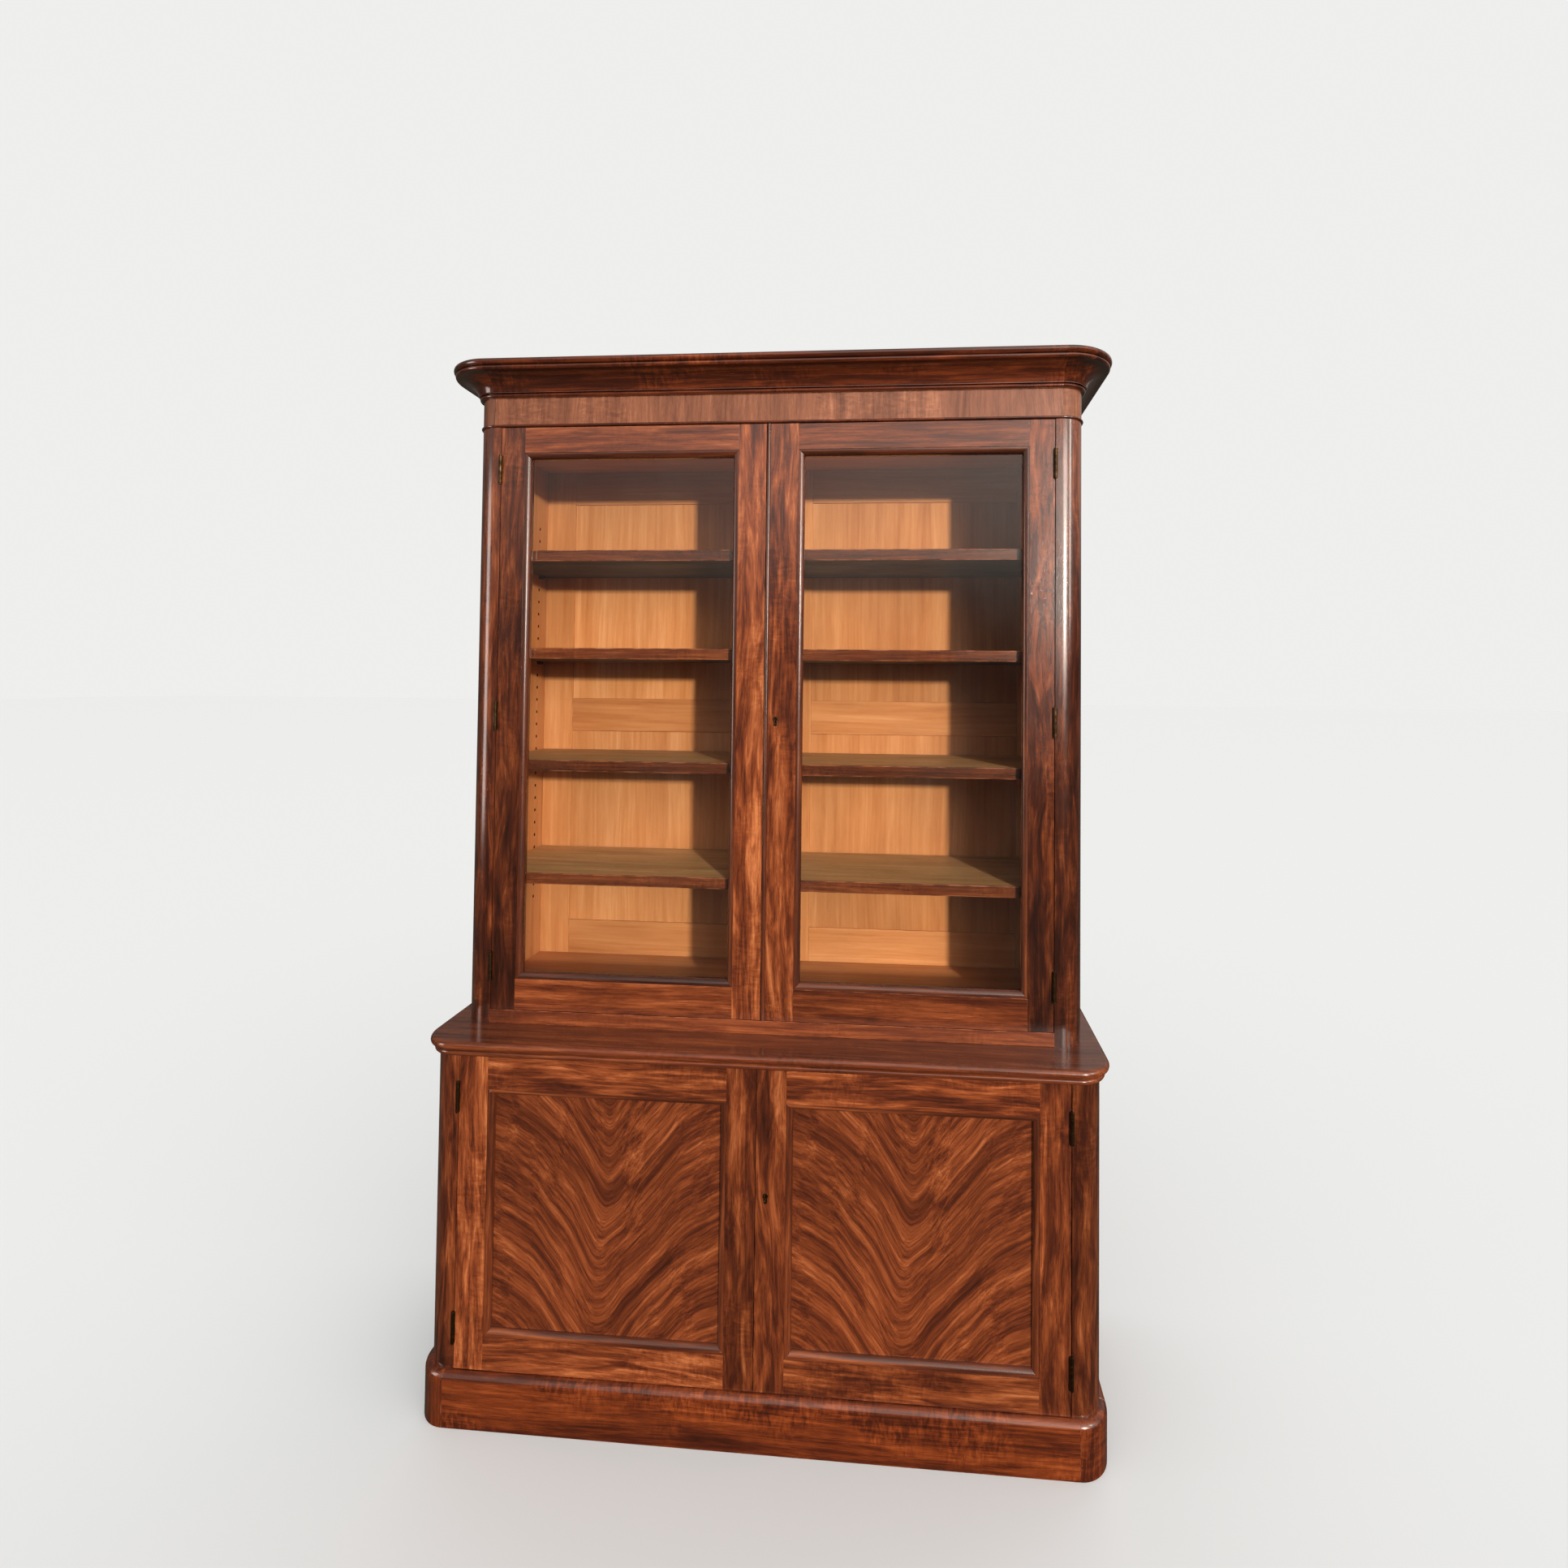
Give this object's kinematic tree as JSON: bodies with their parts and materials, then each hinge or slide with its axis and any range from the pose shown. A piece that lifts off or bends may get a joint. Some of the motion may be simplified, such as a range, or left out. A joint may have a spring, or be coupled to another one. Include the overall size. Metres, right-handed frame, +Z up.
{
  "type": "glazed bookcase with adjustable shelves",
  "caption": "Two-part mahogany bookcase: glazed double doors over adjustable shelves, moulded cornice with rounded corners, on a panelled cupboard base.",
  "frame": {"origin": "middle of the footprint, on the floor", "axes": "+Z up, -Y towards the doors, +X to the right seen from the front"},
  "size_m": [1.54, 0.455, 2.339],
  "materials": {
    "mahogany": "french-polished figured mahogany, satin gloss",
    "dark_mahogany": "dark polished mahogany moulding, gloss",
    "figured_mahogany": "cross-grained mahogany veneer, satin gloss",
    "pine": "old waxed softwood, warm tan",
    "shelf_wood": "worn brown shelf boards with mahogany front edges",
    "glass": "clear window glass",
    "brass": "aged brass"
  },
  "bodies": {
    "case": {"cornice_front": "dark_mahogany", "cornice_returns": "dark_mahogany", "cornice_top_board": "pine", "frieze_front": "figured_mahogany", "frieze_returns": "figured_mahogany", "frieze_bead": "dark_mahogany", "upper_left_side": "mahogany", "upper_right_side": "mahogany", "upper_left_post": "mahogany", "upper_right_post": "mahogany", "upper_top_board": "pine", "upper_bottom_board": "pine", "upper_bottom_rail": "mahogany", "back_frame": "pine", "back_panels": "pine", "shelf_pegs": "brass", "case_hinge_leaves": "brass", "hinge_pins": "brass", "base_top": "mahogany", "base_top_rail": "pine", "base_ends": "mahogany", "base_bottom": "pine", "base_back": "pine", "plinth": "dark_mahogany"},
    "left_door": {"left_hinge_stile": "mahogany", "left_meeting_stile": "mahogany", "left_top_rail": "mahogany", "left_bottom_rail": "mahogany", "left_ovolo": "mahogany", "left_glazing_beads": "mahogany", "left_glass": "glass", "left_hinge_leaves": "brass", "flush_bolt_plates": "brass"},
    "right_door": {"right_hinge_stile": "mahogany", "right_meeting_stile": "mahogany", "right_top_rail": "mahogany", "right_bottom_rail": "mahogany", "right_ovolo": "mahogany", "right_glazing_beads": "mahogany", "right_glass": "glass", "right_hinge_leaves": "brass", "astragal": "mahogany", "upper_lock": "brass", "upper_escutcheon": "brass"},
    "upper_bolt": {"upper_lock_bolt": "brass"},
    "top_bolt": {"top_flush_bolt": "brass"},
    "bottom_bolt": {"bottom_flush_bolt": "brass"},
    "shelf_1": {"shelf_1": "shelf_wood"},
    "shelf_2": {"shelf_2": "shelf_wood"},
    "shelf_3": {"shelf_3": "shelf_wood"},
    "shelf_4": {"shelf_4": "shelf_wood"},
    "base_left_door": {"base_left_frame": "mahogany", "base_left_panel": "figured_mahogany", "base_left_hinge_leaves": "brass"},
    "base_right_door": {"base_right_frame": "mahogany", "base_right_panel": "figured_mahogany", "base_right_hinge_leaves": "brass", "base_lock": "brass"},
    "base_bolt": {"base_lock_bolt": "brass"},
    "base_shelf": {"base_shelf": "shelf_wood"}
  },
  "joints": [
    {"name": "left_door_hinge", "type": "hinge", "parent": "case", "child": "left_door", "pos_m": [-0.638, -0.1265, 1.525], "axis": [0, 0, -1], "range_deg": [0, 165]},
    {"name": "right_door_hinge", "type": "hinge", "parent": "case", "child": "right_door", "pos_m": [0.638, -0.1265, 1.525], "axis": [0, 0, 1], "range_deg": [0, 165]},
    {"name": "base_left_hinge", "type": "hinge", "parent": "case", "child": "base_left_door", "pos_m": [-0.659, -0.2115, 0.449], "axis": [0, 0, -1], "range_deg": [0, 165]},
    {"name": "base_right_hinge", "type": "hinge", "parent": "case", "child": "base_right_door", "pos_m": [0.659, -0.2115, 0.449], "axis": [0, 0, 1], "range_deg": [0, 165]},
    {"name": "upper_lock_throw", "type": "slide", "parent": "right_door", "child": "upper_bolt", "axis": [-1, 0, 0], "range_m": [0, 0.009]},
    {"name": "base_lock_throw", "type": "slide", "parent": "base_right_door", "child": "base_bolt", "axis": [-1, 0, 0], "range_m": [0, 0.009]},
    {"name": "top_bolt_slide", "type": "slide", "parent": "left_door", "child": "top_bolt", "axis": [0, 0, 1], "range_m": [0, 0.012]},
    {"name": "bottom_bolt_slide", "type": "slide", "parent": "left_door", "child": "bottom_bolt", "axis": [0, 0, -1], "range_m": [0, 0.012]},
    {"name": "shelf_1_lift", "type": "slide", "parent": "case", "child": "shelf_1", "axis": [0, 0, 1], "range_m": [0, 0.1]},
    {"name": "shelf_2_lift", "type": "slide", "parent": "case", "child": "shelf_2", "axis": [0, 0, 1], "range_m": [0, 0.1]},
    {"name": "shelf_3_lift", "type": "slide", "parent": "case", "child": "shelf_3", "axis": [0, 0, 1], "range_m": [0, 0.1]},
    {"name": "shelf_4_lift", "type": "slide", "parent": "case", "child": "shelf_4", "axis": [0, 0, 1], "range_m": [0, 0.1]},
    {"name": "base_shelf_lift", "type": "slide", "parent": "case", "child": "base_shelf", "axis": [0, 0, 1], "range_m": [0, 0.1]}
  ]
}
